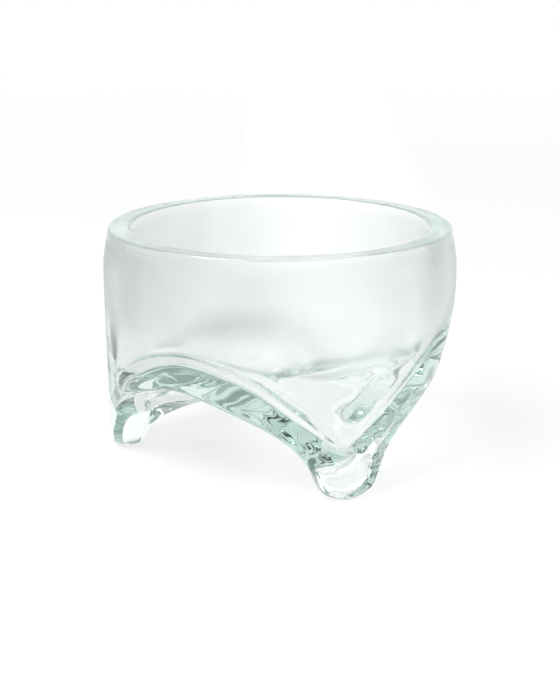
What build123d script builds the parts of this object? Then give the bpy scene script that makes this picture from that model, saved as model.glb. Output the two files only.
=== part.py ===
from build123d import *
import math
import os

os.makedirs("parts", exist_ok=True)

# Driving sizes of the round bowl, in millimetres
height = 101.6
belly_radius = 76.2
belly_height = 81.0
belly_band = 5.0
rim_inset = 2.2
rim_wall = 9.3
rim_round = 2.6
wall = 9.9

# Driving sizes of the three feet and of the arches between them
feet = 3
foot_inset = 7.8
foot_length = 14.6
foot_width = 24.2
foot_height = 13.5
foot_flat = 0.4
side_round = 1.8
arch_inset = 6.6
arch_lip = 8.8
crown_round = 8.0

# Driving sizes of the inner floor: round corners at its ridges, and pockets over the feet
ridge_round = 20.0
pocket_height = 19.0
pocket_round = 6.0

# The glass button that closes the middle, where all three parts of the bowl meet
eye_radius = 4.0
eye_spread = 8.0
eye_rise = 0.6

# Heights of the arches, the underside, the floor and its ridges, as shares of the belly's height
arch_share = 0.513
underside_share = 0.383
floor_share = 0.506
ridge_share = 0.617

# How fast the lower edge climbs from a foot, and how round the floor line is over a foot
climb_share = 0.30
fold_share = 0.03

# Wall below the belly, as shares of the way in to the lower edge and of the height above that edge
wall_shares = [(0.12, 0.74), (0.34, 0.48), (0.60, 0.26), (0.84, 0.11)]
# Rim to belly, as a share of the way down and a share of the way out
shoulder_share = 0.5
swell_share = 0.75

# Underside at a foot, as shares of the foot radius and of the height under the middle
web_shares = [(0.850, 0.29), (0.741, 0.49), (0.563, 0.64), (0.296, 0.86)]
# Underside at an arch, as shares of the foot radius and of the rise from the middle to the arch
vault_shares = [(0.800, 0.95), (0.681, 0.80), (0.563, 0.55), (0.296, 0.20)]
# How far each of those points follows the steep arch line, and not the slow wave
follow_shares = [1.0, 0.5, 0.0, 0.0]

# Inner floor, as shares of the inner radius, then of the fall into a pocket and of the rise to a ridge
floor_radius_shares = [0.33, 0.57, 0.755]
pocket_fall_shares = [0.20, 0.42, 0.62]
ridge_rise_shares = [0.20, 0.55, 0.90]
floor_follow_shares = [0.0, 0.5, 1.0]
# The round corner between floor and wall, as shares of its size inward and upward
corner_shares = [(0.90, 0.00), (0.35, 0.10), (0.06, 0.45), (0.00, 1.00)]

# Angles of the drawn meridians, as shares of the way from a foot to the middle of an arch
meridian_shares = [0, 0.06, 0.11, 0.145, 0.18, 0.22, 0.27, 0.34, 0.44, 0.56, 0.70, 0.85, 1]

half_sector = math.pi / feet
inner_radius = belly_radius - wall
rim_radius = belly_radius - rim_inset
foot_radius = belly_radius - foot_inset
arch_radius = belly_radius - arch_inset
middle_radius = eye_radius + eye_spread / 2
arch_height = belly_height * arch_share
underside_height = belly_height * underside_share
floor_height = belly_height * floor_share
ridge_height = belly_height * ridge_share


def mix(start, end, share):
    return start + (end - start) * share


def softened(value, softness):
    """Nearly the value where that is well above zero, nearly zero below, and a round bend between."""
    return (value + math.hypot(value, softness)) / 2


def wave(angle):
    """0 at a foot and 1 at mid arch, like a cosine: the slow swell of the glass near the middle."""
    return (1 - math.cos(feet * angle)) / 2


def fold(angle):
    """0 at a foot and 1 at mid arch, like a sine with a rounded start: the line where wall meets floor."""
    sine = math.sin(angle * feet / 2)
    return (math.hypot(sine, fold_share) - fold_share) / (math.hypot(1, fold_share) - fold_share)


def from_foot(angle):
    """The angle from the foot to either side, which levels out in a round crown at mid arch."""
    return half_sector - math.hypot(half_sector - abs(angle), crown_round / foot_radius)


def arch(angle):
    """Near 0 over a foot's width, then a steep climb that levels out to 1: the lower edge of the wall."""
    start = foot_width / 2 / foot_radius
    softness = side_round / foot_radius
    full = softened(from_foot(half_sector) - start, softness)
    base = (softened(from_foot(0) - start, softness) / full) ** climb_share
    here = (softened(from_foot(angle) - start, softness) / full) ** climb_share
    return (here - base) / (1 - base)


def outer_guides(angle):
    """Guide points of the outer surface: rim, belly, wall, lower edge, and the underside in to the middle.

    The second list counts off the guides where one lofted face ends and the next begins.
    """
    climb = arch(angle)
    edge_height = mix(-foot_flat, arch_height, climb)
    edge_radius = mix(foot_radius + foot_length / 2, arch_radius, climb)
    lip_radius = mix(foot_radius - foot_length / 2, arch_radius - arch_lip, climb)
    wall_top = belly_height - belly_band
    shoulder = (mix(rim_radius, belly_radius, swell_share), mix(height, belly_height, shoulder_share))
    guides = [(rim_radius - rim_round, height), (rim_radius, height), (rim_radius, height - rim_round)]
    guides += [shoulder, (belly_radius, belly_height + belly_band), (belly_radius, belly_height)]
    guides += [(belly_radius, wall_top)]
    seams = [len(guides) - 1]
    for inward, upward in wall_shares:
        guides.append((mix(belly_radius, edge_radius, inward), mix(edge_height, wall_top, upward)))
    seams.append(len(guides) - 1)
    guides += [(edge_radius, edge_height), ((edge_radius + lip_radius) / 2, edge_height)]
    guides += [(lip_radius, edge_height)]
    seams.append(len(guides))
    for web, vault, follow in zip(web_shares, vault_shares, follow_shares):
        blend = mix(wave(angle), climb, follow)
        vault_height = mix(underside_height, arch_height, vault[1])
        guide_radius = foot_radius * mix(web[0], vault[0], blend)
        guides.append((guide_radius, mix(underside_height * web[1], vault_height, blend)))
    guides += [(middle_radius, underside_height), (eye_radius, underside_height)]
    return guides, seams


def inner_guides(angle):
    """Guide points of the inner surface: the floor from the middle out, the corner, the wall and the rim.

    The second list counts off the guides where one lofted face ends and the next begins.
    """
    bend = fold(angle)
    guides = [(eye_radius, floor_height), (middle_radius, floor_height)]
    for outward, fall, rise, follow in zip(
        floor_radius_shares, pocket_fall_shares, ridge_rise_shares, floor_follow_shares
    ):
        blend = mix(wave(angle), bend, follow)
        pocket_floor = mix(floor_height, pocket_height, fall)
        ridge_floor = mix(floor_height, ridge_height, rise)
        guides.append((inner_radius * outward, mix(pocket_floor, ridge_floor, blend)))
    seams = [len(guides) - 1]
    corner = mix(pocket_round, ridge_round, bend)
    corner_height = mix(pocket_height, ridge_height, bend)
    for inward, upward in corner_shares:
        guides.append((inner_radius - corner * inward, corner_height + corner * upward))
    seams.append(len(guides))
    rim_inside = rim_radius - rim_wall
    corner_top = corner_height + corner
    guides += [(inner_radius, (corner_top + belly_height) / 2), (inner_radius, belly_height)]
    guides += [((inner_radius + rim_inside) / 2, (belly_height + height) / 2)]
    guides += [(rim_inside, height - rim_round), (rim_inside, height), (rim_inside + rim_round, height)]
    return guides, seams


def guided_curves(guides, seams):
    """The uniform cubic B-spline over the guides, from the first guide to the last, parted at the seams."""
    points = [Vector(*guide) for guide in guides]
    before_first = points[0] * 2 - points[1]
    after_last = points[-1] * 2 - points[-2]
    padded = [before_first] + points + [after_last]
    knots = []
    slopes = []
    for before, here, after in zip(padded, padded[1:], padded[2:]):
        knots.append((before + here * 4 + after) / 6)
        slopes.append((after - before) / 2)
    curves = []
    for start, end in zip([0] + seams, seams + [len(knots) - 1]):
        steps = [float(step) for step in range(start, end + 1)]
        ends = [slopes[start], slopes[end]]
        curve = Edge.make_spline(knots[start : end + 1], tangents=ends, parameters=steps, scale=False)
        curves.append(curve)
    return curves


def meridian_plane(angle):
    """The upright half-plane at an angle from the front foot: its x runs outward and its y upward."""
    outward = (math.sin(angle), -math.cos(angle), 0)
    return Plane(origin=(0, 0, 0), x_dir=outward, z_dir=(outward[1], -outward[0], 0))


def meridian_face(angle):
    """The outline of the glass in its half-plane. Each curve is an edge, and a lofted face, of its own."""
    outer = guided_curves(*outer_guides(angle))
    inner = guided_curves(*inner_guides(angle))
    eye_side = Edge.make_line(outer[-1] @ 1, inner[0] @ 0)
    rim_flat = Edge.make_line(inner[-1] @ 1, outer[0] @ 0)
    return meridian_plane(angle) * Face(Wire([*outer, eye_side, *inner, rim_flat]))


right_half = [half_sector * share for share in meridian_shares]
meridian_angles = [-angle for angle in reversed(right_half[1:])] + right_half

# One third of the bowl: a foot with half an arch on either side of it
with BuildPart() as sector:
    loft(sections=[meridian_face(angle) for angle in meridian_angles], clean=False)

# The whole glass body: three thirds, closed in the middle by the button
with BuildPart() as glass:
    with PolarLocations(0, feet):
        add(sector.part)
    with BuildSketch(Plane.XZ):
        with BuildLine():
            button_top = floor_height + eye_rise
            button_bottom = underside_height - eye_rise
            top_arc = ThreePointArc(
                (0, button_top),
                (eye_spread / 2, button_top - eye_rise / 2),
                (eye_spread, button_top - eye_rise * 2),
            )
            bottom_arc = ThreePointArc(
                (0, button_bottom),
                (eye_spread / 2, button_bottom + eye_rise / 2),
                (eye_spread, button_bottom + eye_rise * 2),
            )
            Line(top_arc @ 1, bottom_arc @ 1)
            Line(bottom_arc @ 0, top_arc @ 0)
        make_face()
    revolve(axis=Axis.Z)

# The shell of the bowl, down to where the solid feet begin
with BuildPart() as glass_bowl:
    add(glass.part)
    split(bisect_by=Plane.XY.offset(foot_height), keep=Keep.TOP)
glass_bowl.part.label = "glass_bowl"
export_step(glass_bowl.part, "parts/glass_bowl.step")

# The three solid feet, each ground to a small flat where it stands
with BuildPart() as feet_ring:
    add(glass.part)
    split(bisect_by=Plane.XY.offset(foot_height), keep=Keep.BOTTOM)
    split(bisect_by=Plane.XY, keep=Keep.TOP)

from_front = feet_ring.part.solids().sort_by(Axis.Y)
from_left = from_front[1:].sort_by(Axis.X)
named_feet = {"front_foot": from_front[0], "left_foot": from_left[0], "right_foot": from_left[-1]}
for name, solid in named_feet.items():
    with BuildPart() as foot:
        add(solid)
    foot.part.label = name
    export_step(foot.part, f"parts/{name}.step")
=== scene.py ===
import math

import bpy
import numpy as np
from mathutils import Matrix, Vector


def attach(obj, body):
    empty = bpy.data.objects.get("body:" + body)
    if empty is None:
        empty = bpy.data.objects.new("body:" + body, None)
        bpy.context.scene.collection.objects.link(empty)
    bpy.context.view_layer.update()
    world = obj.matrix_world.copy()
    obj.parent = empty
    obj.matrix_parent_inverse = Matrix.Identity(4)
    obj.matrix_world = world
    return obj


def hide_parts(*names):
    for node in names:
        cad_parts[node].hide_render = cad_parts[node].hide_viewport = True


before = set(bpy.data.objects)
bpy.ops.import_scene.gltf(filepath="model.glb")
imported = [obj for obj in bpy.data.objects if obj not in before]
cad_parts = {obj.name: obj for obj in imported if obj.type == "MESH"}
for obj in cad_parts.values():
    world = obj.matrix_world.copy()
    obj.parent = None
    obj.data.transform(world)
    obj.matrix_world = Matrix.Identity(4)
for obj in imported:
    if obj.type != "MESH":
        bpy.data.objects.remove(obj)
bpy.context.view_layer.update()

MILLIMETRE = 0.001

# Sizes of the round bowl, in millimetres
HEIGHT = 101.6
BELLY_RADIUS = 76.2
BELLY_HEIGHT = 81.0
BELLY_BAND = 5.0
RIM_INSET = 2.2
RIM_WALL = 9.3
RIM_ROUND = 2.6
WALL = 9.9

# Sizes of the three feet and of the arches between them
FEET = 3
FOOT_INSET = 7.8
FOOT_LENGTH = 14.6
FOOT_WIDTH = 24.2
FOOT_FLAT = 0.4
SIDE_ROUND = 1.8
ARCH_INSET = 6.6
ARCH_LIP = 8.8
CROWN_ROUND = 8.0

# Sizes of the floor inside: ridges over the arches, pockets over the feet, and a level middle
RIDGE_ROUND = 20.0
POCKET_HEIGHT = 19.0
POCKET_ROUND = 6.0
MIDDLE_RADIUS = 8.0

# Heights of the arches, the underside, the floor and its ridges, as shares of the belly's height
ARCH_SHARE = 0.513
UNDERSIDE_SHARE = 0.383
FLOOR_SHARE = 0.506
RIDGE_SHARE = 0.617

# How fast the lower edge climbs from a foot, and how round the floor line is over a foot
CLIMB_SHARE = 0.30
FOLD_SHARE = 0.03

# Rim to belly, as a share of the way down and a share of the way out
SHOULDER_SHARE = 0.5
SWELL_SHARE = 0.75
# Wall below the belly, as shares of the way in to the lower edge and of the height above that edge
WALL_SHARES = ((0.12, 0.74), (0.34, 0.48), (0.60, 0.26), (0.84, 0.11))
# Underside at a foot, as shares of the foot radius and of the height under the middle
WEB_SHARES = ((0.850, 0.29), (0.741, 0.49), (0.563, 0.64), (0.296, 0.86))
# Underside at an arch, as shares of the foot radius and of the rise from the middle to the arch
VAULT_SHARES = ((0.800, 0.95), (0.681, 0.80), (0.563, 0.55), (0.296, 0.20))
# How far each of those points follows the steep arch line, and not the slow wave
FOLLOW_SHARES = (1.0, 0.5, 0.0, 0.0)
# Inner floor, as shares of the inner radius, then of the fall into a pocket and of the rise to a ridge
FLOOR_RADIUS_SHARES = (0.33, 0.57, 0.755)
POCKET_FALL_SHARES = (0.20, 0.42, 0.62)
RIDGE_RISE_SHARES = (0.20, 0.55, 0.90)
FLOOR_FOLLOW_SHARES = (0.0, 0.5, 1.0)
# The round corner between floor and wall, as shares of its size inward and upward
CORNER_SHARES = ((0.90, 0.00), (0.35, 0.10), (0.06, 0.45), (0.00, 1.00))

# The half angle between two feet, and the radii and heights that follow from the sizes above
HALF_SECTOR = math.pi / FEET
RIM_RADIUS = BELLY_RADIUS - RIM_INSET
INNER_RADIUS = BELLY_RADIUS - WALL
FOOT_RADIUS = BELLY_RADIUS - FOOT_INSET
ARCH_RADIUS = BELLY_RADIUS - ARCH_INSET
ARCH_HEIGHT = BELLY_HEIGHT * ARCH_SHARE
UNDERSIDE_HEIGHT = BELLY_HEIGHT * UNDERSIDE_SHARE
FLOOR_HEIGHT = BELLY_HEIGHT * FLOOR_SHARE
RIDGE_HEIGHT = BELLY_HEIGHT * RIDGE_SHARE

# The grid of the glass surface: meridians round the bowl, rows down the outside and up the inside
MERIDIANS = 384
OUTER_ROWS = 145
INNER_ROWS = 100
# Meridians stand closer together beside the feet, where the surface turns fastest
CROWDING = 0.12

# Finish of the glass: smooth low down and at the rim, satin between. Spans are heights in metres.
GLASS_IOR = 1.5
SMOOTH = 0.02
SATIN = 0.25
ROUGHEST = 1.0
SATIN_SPAN = (0.045, 0.075)
RIM_SPAN = (0.092, 0.099)

# Waves of the glass: how many to a metre, how much finer detail they carry, and their height in metres
BROAD_WAVE_SCALE = 25.0
BROAD_WAVE_DETAIL = 1.0
BROAD_WAVE_HEIGHT = 0.002
FINE_WAVE_SCALE = 60.0
FINE_WAVE_DETAIL = 0.0
FINE_WAVE_HEIGHT = 0.0012
FINE_WAVE_SPAN = (0.04, 0.06)
BUMP_DISTANCE = 1.0

# Tint of the glass, and how strongly a metre of it takes up light
GLASS_TINT = (0.38, 0.65, 0.572, 1)
TINT_DENSITY = 6.5

# What the glass shows of the floor and the world is a little cooler than plain white
PLAIN_WHITE = (1, 1, 1, 1)
COOL_WHITE = (0.985, 0.99, 1, 1)

# The photograph's camera: how far round, down, away and up it is, in radians and metres
CAMERA_TURN = math.radians(-22.4)
CAMERA_PITCH = math.radians(15.05)
CAMERA_REACH = 0.7668
CAMERA_HEIGHT = 0.2514
CAMERA_CLIP_START = 0.01
# Its lens, in millimetres on a sensor of the default width
CAMERA_LENS = 93.1

# Directions of that camera on the floor: to its right, and away from it
TO_THE_RIGHT = (math.cos(CAMERA_TURN), math.sin(CAMERA_TURN), 0)
FAR_AWAY = (-math.sin(CAMERA_TURN), math.cos(CAMERA_TURN), 0)
UPWARD = (0, 0, 1)

# The floor: its glow in the glass at the left, middle and right, and from near to far, by places in metres
FLOOR_REACH = 6.0
FLOOR_COLOUR = (0.9, 0.9, 0.9, 1)
LEFT_GLOW = 0.80
MIDDLE_GLOW = 1.18
RIGHT_GLOW = 0.95
LEFT_SPAN = (-0.12, 0.041)
RIGHT_SPAN = (0.041, 0.16)
DEPTH_GLOWS = (0.95, 1.0)
DEPTH_SPAN = (0.05, 0.50)
# The share of the floor's tone that is glow, near the bowl and far off. The rest is matt, for the shadow.
GLOW_SHARES = (0.72, 1.0)
GLOW_SHARE_SPAN = (0.3, 1.5)

# The world: its glow behind the camera and behind the bowl, and how far a direction leads away between
WALL_GLOWS = (0.45, 1.15)
WALL_SPAN = (-0.4, 0.4)
# Its glow overhead, and how far a direction leads upward where the wall's glow goes over to it
OVERHEAD_GLOW = 0.55
OVERHEAD_SPAN = (0.3, 0.9)

# The one lamp, in metres and watts: high at the left, on the camera's side
KEY_PLACE = (-0.9, -0.3, 1.3)
KEY_SIZE = (0.9, 0.9)
KEY_WATTS = 24

# Thick glass needs many bounces before its light gets out
GLASS_BOUNCES = 32
GLOSSY_BOUNCES = 12


def mix(start, end, share):
    """The value that lies a share of the way from start to end."""
    return start + (end - start) * share


def softened(value, softness):
    """Nearly the value where that is well above zero, nearly zero below, and a round bend between."""
    return (value + np.hypot(value, softness)) / 2


def wave(angle):
    """0 at a foot and 1 at mid arch, like a cosine: the slow swell of the glass near the middle."""
    return (1 - np.cos(FEET * angle)) / 2


def fold(angle):
    """0 at a foot and 1 at mid arch, like a sine with a rounded start: the line where wall meets floor."""
    sine = np.sin(angle * FEET / 2)
    return (np.hypot(sine, FOLD_SHARE) - FOLD_SHARE) / (np.hypot(1, FOLD_SHARE) - FOLD_SHARE)


def from_foot(angle):
    """The angle from the nearest foot, which levels out in a round crown at mid arch."""
    return HALF_SECTOR - np.hypot(HALF_SECTOR - angle, CROWN_ROUND / FOOT_RADIUS)


def arch_climb(angle):
    """Near 0 over a foot's width, then a steep climb that levels out to 1: the lower edge of the wall."""
    start = FOOT_WIDTH / 2 / FOOT_RADIUS
    softness = SIDE_ROUND / FOOT_RADIUS
    full = softened(from_foot(HALF_SECTOR) - start, softness)
    base = (softened(from_foot(0) - start, softness) / full) ** CLIMB_SHARE
    here = (softened(from_foot(angle) - start, softness) / full) ** CLIMB_SHARE
    return (here - base) / (1 - base)


def stacked(points, angle):
    """Guide points as one array: a row for each angle, and in it a radius and a height for each guide."""
    even = np.ones_like(angle)
    return np.stack([np.stack([radius * even, height * even], -1) for radius, height in points], 1)


def outer_guides(angle):
    """Guides of the outside of every meridian: rim, belly, wall, lower edge, and underside to the middle.

    The lower edge goes from the foot's flat up to the arch with the climb. Under it, each guide goes from
    its place at a foot to its place at an arch, partly with the climb and partly with the slow wave.
    """
    climb = arch_climb(angle)
    edge_height = mix(-FOOT_FLAT, ARCH_HEIGHT, climb)
    edge_radius = mix(FOOT_RADIUS + FOOT_LENGTH / 2, ARCH_RADIUS, climb)
    lip_radius = mix(FOOT_RADIUS - FOOT_LENGTH / 2, ARCH_RADIUS - ARCH_LIP, climb)
    wall_top = BELLY_HEIGHT - BELLY_BAND
    points = [
        (RIM_RADIUS - RIM_ROUND, HEIGHT),
        (RIM_RADIUS, HEIGHT),
        (RIM_RADIUS, HEIGHT - RIM_ROUND),
        (mix(RIM_RADIUS, BELLY_RADIUS, SWELL_SHARE), mix(HEIGHT, BELLY_HEIGHT, SHOULDER_SHARE)),
        (BELLY_RADIUS, BELLY_HEIGHT + BELLY_BAND),
        (BELLY_RADIUS, BELLY_HEIGHT),
        (BELLY_RADIUS, wall_top),
    ]
    for inward, upward in WALL_SHARES:
        points.append((mix(BELLY_RADIUS, edge_radius, inward), mix(edge_height, wall_top, upward)))
    points += [
        (edge_radius, edge_height),
        ((edge_radius + lip_radius) / 2, edge_height),
        (lip_radius, edge_height),
    ]
    for web, vault, follow in zip(WEB_SHARES, VAULT_SHARES, FOLLOW_SHARES):
        blend = mix(wave(angle), climb, follow)
        vault_height = mix(UNDERSIDE_HEIGHT, ARCH_HEIGHT, vault[1])
        radius = FOOT_RADIUS * mix(web[0], vault[0], blend)
        points.append((radius, mix(UNDERSIDE_HEIGHT * web[1], vault_height, blend)))
    points += [(MIDDLE_RADIUS, UNDERSIDE_HEIGHT), (0, UNDERSIDE_HEIGHT)]
    return stacked(points, angle)


def inner_guides(angle):
    """Guides of the inside of every meridian: floor, round corner, wall and rim.

    The floor goes from its pocket over a foot to its ridge over an arch, with the slow wave near the
    middle and with the fold near the wall.
    """
    bend = fold(angle)
    points = [(0, FLOOR_HEIGHT), (MIDDLE_RADIUS, FLOOR_HEIGHT)]
    for outward, fall, rise, follow in zip(
        FLOOR_RADIUS_SHARES, POCKET_FALL_SHARES, RIDGE_RISE_SHARES, FLOOR_FOLLOW_SHARES
    ):
        blend = mix(wave(angle), bend, follow)
        pocket_floor = mix(FLOOR_HEIGHT, POCKET_HEIGHT, fall)
        ridge_floor = mix(FLOOR_HEIGHT, RIDGE_HEIGHT, rise)
        points.append((INNER_RADIUS * outward, mix(pocket_floor, ridge_floor, blend)))
    corner = mix(POCKET_ROUND, RIDGE_ROUND, bend)
    corner_height = mix(POCKET_HEIGHT, RIDGE_HEIGHT, bend)
    for inward, upward in CORNER_SHARES:
        points.append((INNER_RADIUS - corner * inward, corner_height + corner * upward))
    rim_inside = RIM_RADIUS - RIM_WALL
    points += [
        (INNER_RADIUS, (corner_height + corner + BELLY_HEIGHT) / 2),
        (INNER_RADIUS, BELLY_HEIGHT),
        ((INNER_RADIUS + rim_inside) / 2, (BELLY_HEIGHT + HEIGHT) / 2),
        (rim_inside, HEIGHT - RIM_ROUND),
        (rim_inside, HEIGHT),
        (rim_inside + RIM_ROUND, HEIGHT),
    ]
    return stacked(points, angle)


def guided_curves(guides, rows):
    """The uniform cubic B-spline over each meridian's guides, read at evenly spaced rows, first to last."""
    first = 2 * guides[:, :1] - guides[:, 1:2]
    last = 2 * guides[:, -1:] - guides[:, -2:-1]
    padded = np.concatenate([first, guides, last], 1)
    place = np.linspace(0, guides.shape[1] - 1, rows)
    span = np.minimum(place.astype(int), guides.shape[1] - 2)
    t = (place - span)[None, :, None]
    weights = (
        (1 - t) ** 3 / 6,
        (3 * t**3 - 6 * t**2 + 4) / 6,
        (-3 * t**3 + 3 * t**2 + 3 * t + 1) / 6,
        t**3 / 6,
    )
    return sum(weight * padded[:, span + step] for step, weight in enumerate(weights))


def glass_surface():
    """The whole skin of the glass as a grid of points in metres, one row of the grid for each meridian.

    A meridian is read from the middle of the floor out to the rim, over it, and down to the middle of the
    underside. Its guides depend only on the angle from the nearest foot. The first foot points along -Y.
    """
    turn = np.linspace(0, 2 * math.pi, MERIDIANS, endpoint=False)
    around = turn - CROWDING * np.sin(FEET * turn)
    angle = np.abs((around + HALF_SECTOR) % (2 * HALF_SECTOR) - HALF_SECTOR)
    inside = guided_curves(inner_guides(angle), INNER_ROWS)
    outside = guided_curves(outer_guides(angle), OUTER_ROWS)
    meridian = np.concatenate([inside, outside], 1)
    radius = meridian[..., 0]
    height = np.maximum(meridian[..., 1], 0)
    grid = np.stack([radius * np.sin(around)[:, None], -radius * np.cos(around)[:, None], height], -1)
    return grid * MILLIMETRE


def closed_mesh(name, grid):
    """A closed mesh from a grid that wraps round in its first direction and shrinks to a pole at both ends.

    Four-sided faces fill the grid, and a ring of triangles closes it round each pole.
    """
    columns, rows = grid.shape[0], grid.shape[1] - 2
    points = np.concatenate([grid[:, 1:-1].reshape(-1, 3), grid[:1, 0], grid[:1, -1]])
    column = np.arange(columns)[:, None]
    after = (column + 1) % columns
    row = np.arange(rows - 1)[None]
    here = column * rows + row
    there = after * rows + row
    quads = np.stack([there, here, here + 1, there + 1], -1)
    start, next_start = column[:, 0] * rows, after[:, 0] * rows
    end, next_end = start + rows - 1, next_start + rows - 1
    first_pole = np.stack([start, next_start, np.full(columns, len(points) - 2)], -1)
    last_pole = np.stack([next_end, end, np.full(columns, len(points) - 1)], -1)
    corners = np.concatenate([quads.ravel(), first_pole.ravel(), last_pole.ravel()])
    sizes = np.concatenate([np.full(columns * (rows - 1), 4), np.full(columns * 2, 3)])
    mesh = bpy.data.meshes.new(name)
    mesh.vertices.add(len(points))
    mesh.vertices.foreach_set("co", points.astype(np.float32).ravel())
    mesh.loops.add(len(corners))
    mesh.loops.foreach_set("vertex_index", corners.astype(np.int32))
    mesh.polygons.add(len(sizes))
    mesh.polygons.foreach_set("loop_start", (np.cumsum(sizes) - sizes).astype(np.int32))
    mesh.update(calc_edges=True)
    mesh.validate()
    mesh.shade_smooth()
    return mesh


def piece(name, mesh, material):
    """An object that shows the mesh in the material, with its place in the mesh."""
    body = bpy.data.objects.new(name, mesh)
    bpy.context.collection.objects.link(body)
    mesh.materials.append(material)
    return body


def ramp(tree, source, span, values):
    """The number that goes smoothly from the first value to the second while the source crosses the span."""
    node = tree.nodes.new("ShaderNodeMapRange")
    node.interpolation_type = "SMOOTHERSTEP"
    tree.links.new(source, node.inputs["Value"])
    node.inputs["From Min"].default_value = span[0]
    node.inputs["From Max"].default_value = span[1]
    node.inputs["To Min"].default_value = values[0]
    node.inputs["To Max"].default_value = values[1]
    return node.outputs["Result"]


def along(tree, source, direction):
    """How far a point lies along a direction: the dot product of the two."""
    node = tree.nodes.new("ShaderNodeVectorMath")
    node.operation = "DOT_PRODUCT"
    tree.links.new(source, node.inputs[0])
    node.inputs[1].default_value = direction
    return node.outputs["Value"]


def distance_from_middle(tree, source):
    """How far a point lies from the middle of the object's own coordinates: the vector's length."""
    node = tree.nodes.new("ShaderNodeVectorMath")
    node.operation = "LENGTH"
    tree.links.new(source, node.inputs[0])
    return node.outputs["Value"]


def combined(tree, operation, first, second):
    """Two values put together by a math node. Either may be a plain number."""
    node = tree.nodes.new("ShaderNodeMath")
    node.operation = operation
    for place, value in enumerate((first, second)):
        if isinstance(value, bpy.types.NodeSocket):
            tree.links.new(value, node.inputs[place])
        else:
            node.inputs[place].default_value = value
    return node.outputs["Value"]


def noise(tree, place, scale, detail):
    """Smooth noise from 0 to 1 over the object's own coordinates."""
    node = tree.nodes.new("ShaderNodeTexNoise")
    node.inputs["Scale"].default_value = scale
    node.inputs["Detail"].default_value = detail
    tree.links.new(place, node.inputs["Vector"])
    return node.outputs["Fac"]


def empty_material(name):
    """A new material, its node tree, and the output node that is the only one in it."""
    material = bpy.data.materials.new(name)
    material.use_nodes = True
    tree = material.node_tree
    tree.nodes.clear()
    return material, tree, tree.nodes.new("ShaderNodeOutputMaterial")


def clear_glass():
    """Clear glass, tinted green by the length of glass that light comes through.

    It is smooth at the rim and in the lower part, and a little satin on the wall between them. Broad waves
    from the forming by hand lie all over it, and fine ones only on the lower part, which was drawn out hot.
    """
    material, tree, output = empty_material("clear_glass")
    glass = tree.nodes.new("ShaderNodeBsdfGlass")
    glass.inputs["IOR"].default_value = GLASS_IOR
    place = tree.nodes.new("ShaderNodeTexCoord").outputs["Object"]
    height = along(tree, place, UPWARD)
    wall = ramp(tree, height, SATIN_SPAN, (SMOOTH, SATIN))
    rim = ramp(tree, height, RIM_SPAN, (ROUGHEST, SMOOTH))
    tree.links.new(combined(tree, "MINIMUM", wall, rim), glass.inputs["Roughness"])
    broad_noise = noise(tree, place, BROAD_WAVE_SCALE, BROAD_WAVE_DETAIL)
    broad_waves = combined(tree, "MULTIPLY", broad_noise, BROAD_WAVE_HEIGHT)
    fine_noise = noise(tree, place, FINE_WAVE_SCALE, FINE_WAVE_DETAIL)
    fine_height = ramp(tree, height, FINE_WAVE_SPAN, (FINE_WAVE_HEIGHT, 0))
    fine_waves = combined(tree, "MULTIPLY", fine_noise, fine_height)
    bump = tree.nodes.new("ShaderNodeBump")
    bump.inputs["Distance"].default_value = BUMP_DISTANCE
    tree.links.new(combined(tree, "ADD", broad_waves, fine_waves), bump.inputs["Height"])
    tree.links.new(bump.outputs["Normal"], glass.inputs["Normal"])
    tint = tree.nodes.new("ShaderNodeVolumeAbsorption")
    tint.inputs["Color"].default_value = GLASS_TINT
    tint.inputs["Density"].default_value = TINT_DENSITY
    tree.links.new(glass.outputs["BSDF"], output.inputs["Surface"])
    tree.links.new(tint.outputs["Volume"], output.inputs["Volume"])
    return material


def white_floor():
    """A floor that shows as plain white, and keeps a faint shadow near the bowl.

    In the glass its glow is cooler, brightest in the middle, and a little dimmer at the left, at the right
    and on the camera's side.
    """
    material, tree, output = empty_material("white_floor")
    matt = tree.nodes.new("ShaderNodeBsdfDiffuse")
    matt.inputs["Color"].default_value = FLOOR_COLOUR
    place = tree.nodes.new("ShaderNodeTexCoord").outputs["Object"]
    path = tree.nodes.new("ShaderNodeLightPath").outputs
    rightward = along(tree, place, TO_THE_RIGHT)
    rise = ramp(tree, rightward, LEFT_SPAN, (LEFT_GLOW, MIDDLE_GLOW))
    fall = ramp(tree, rightward, RIGHT_SPAN, (MIDDLE_GLOW, RIGHT_GLOW))
    depth = ramp(tree, along(tree, place, FAR_AWAY), DEPTH_SPAN, DEPTH_GLOWS)
    in_the_glass = combined(tree, "MULTIPLY", combined(tree, "MINIMUM", rise, fall), depth)
    strength = combined(tree, "MAXIMUM", in_the_glass, path["Is Camera Ray"])
    colour = tree.nodes.new("ShaderNodeMixRGB")
    colour.inputs["Color1"].default_value = COOL_WHITE
    colour.inputs["Color2"].default_value = PLAIN_WHITE
    tree.links.new(path["Is Camera Ray"], colour.inputs["Fac"])
    glow = tree.nodes.new("ShaderNodeEmission")
    tree.links.new(colour.outputs["Color"], glow.inputs["Color"])
    tree.links.new(strength, glow.inputs["Strength"])
    mirrored = combined(tree, "MAXIMUM", path["Is Camera Ray"], path["Is Glossy Ray"])
    seen = combined(tree, "MAXIMUM", mirrored, path["Is Transmission Ray"])
    glow_share = ramp(tree, distance_from_middle(tree, place), GLOW_SHARE_SPAN, GLOW_SHARES)
    blend = tree.nodes.new("ShaderNodeMixShader")
    tree.links.new(combined(tree, "MULTIPLY", seen, glow_share), blend.inputs[0])
    tree.links.new(matt.outputs["BSDF"], blend.inputs[1])
    tree.links.new(glow.outputs["Emission"], blend.inputs[2])
    tree.links.new(blend.outputs["Shader"], output.inputs["Surface"])
    return material


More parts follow.
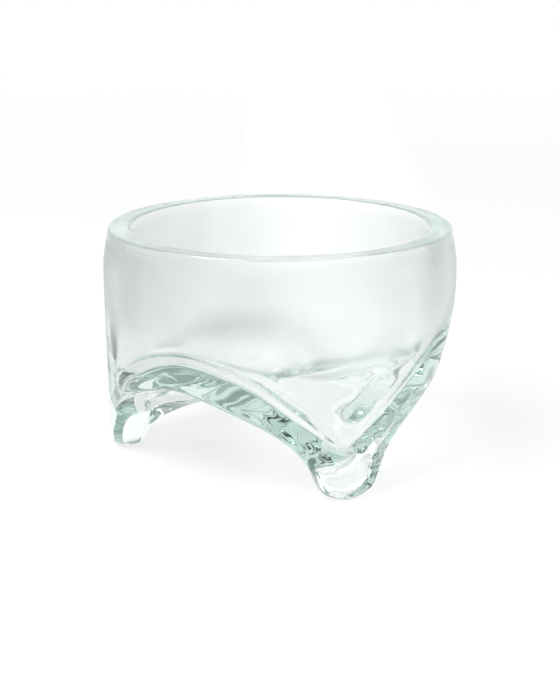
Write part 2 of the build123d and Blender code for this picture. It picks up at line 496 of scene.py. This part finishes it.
def studio_world():
    """White to the camera. For the glass it is dimmer behind the camera and overhead, to draw its edges."""
    world = bpy.data.worlds.new("studio")
    bpy.context.scene.world = world
    world.use_nodes = True
    tree = world.node_tree
    tree.nodes.clear()
    output = tree.nodes.new("ShaderNodeOutputWorld")
    light = tree.nodes.new("ShaderNodeBackground")
    light.inputs["Color"].default_value = COOL_WHITE
    direction = tree.nodes.new("ShaderNodeTexCoord").outputs["Generated"]
    wall = ramp(tree, along(tree, direction, FAR_AWAY), WALL_SPAN, WALL_GLOWS)
    up = ramp(tree, along(tree, direction, UPWARD), OVERHEAD_SPAN, (0, 1))
    sides = combined(tree, "MULTIPLY", wall, combined(tree, "SUBTRACT", 1, up))
    overhead = combined(tree, "MULTIPLY", up, OVERHEAD_GLOW)
    all_round = combined(tree, "ADD", sides, overhead)
    to_camera = tree.nodes.new("ShaderNodeLightPath").outputs["Is Camera Ray"]
    tree.links.new(combined(tree, "MAXIMUM", all_round, to_camera), light.inputs["Strength"])
    tree.links.new(light.outputs["Background"], output.inputs["Surface"])


def soft_box(name, place, size, watts):
    """A rectangular lamp that faces the middle of the floor."""
    light = bpy.data.lights.new(name, "AREA")
    light.shape = "RECTANGLE"
    light.size, light.size_y = size
    light.energy = watts
    lamp = bpy.data.objects.new(name, light)
    bpy.context.collection.objects.link(lamp)
    lamp.location = place
    lamp.rotation_euler = (-Vector(place)).to_track_quat("-Z", "Y").to_euler()


def floor_square():
    """A level square at z = 0, with the bowl at its middle."""
    near, far = -FLOOR_REACH, FLOOR_REACH
    mesh = bpy.data.meshes.new("floor")
    mesh.from_pydata([(near, near, 0), (far, near, 0), (far, far, 0), (near, far, 0)], [], [(0, 1, 2, 3)])
    return mesh


def photograph_camera():
    """The camera at the photograph's height and distance, which puts the front foot right of the middle."""
    data = bpy.data.cameras.new("camera")
    data.lens = CAMERA_LENS
    data.clip_start = CAMERA_CLIP_START
    camera = bpy.data.objects.new("camera", data)
    bpy.context.collection.objects.link(camera)
    across, back = math.sin(CAMERA_TURN) * CAMERA_REACH, -math.cos(CAMERA_TURN) * CAMERA_REACH
    camera.location = (across, back, CAMERA_HEIGHT)
    camera.rotation_euler = (math.pi / 2 - CAMERA_PITCH, 0, CAMERA_TURN)
    return camera


# The glass: one closed skin, because nothing divides the bowl from its feet inside
body = piece("glass_bowl_and_feet", closed_mesh("glass_bowl_and_feet", glass_surface()), clear_glass())
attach(body, "root")
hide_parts("glass_bowl", "front_foot", "left_foot", "right_foot")

# The studio: floor, world, one soft box and the camera
piece("floor", floor_square(), white_floor())
studio_world()
soft_box("key_light", KEY_PLACE, KEY_SIZE, KEY_WATTS)
scene = bpy.context.scene
scene.camera = photograph_camera()
scene.view_settings.view_transform = "Standard"
scene.cycles.max_bounces = GLASS_BOUNCES
scene.cycles.transmission_bounces = GLASS_BOUNCES
scene.cycles.glossy_bounces = GLOSSY_BOUNCES
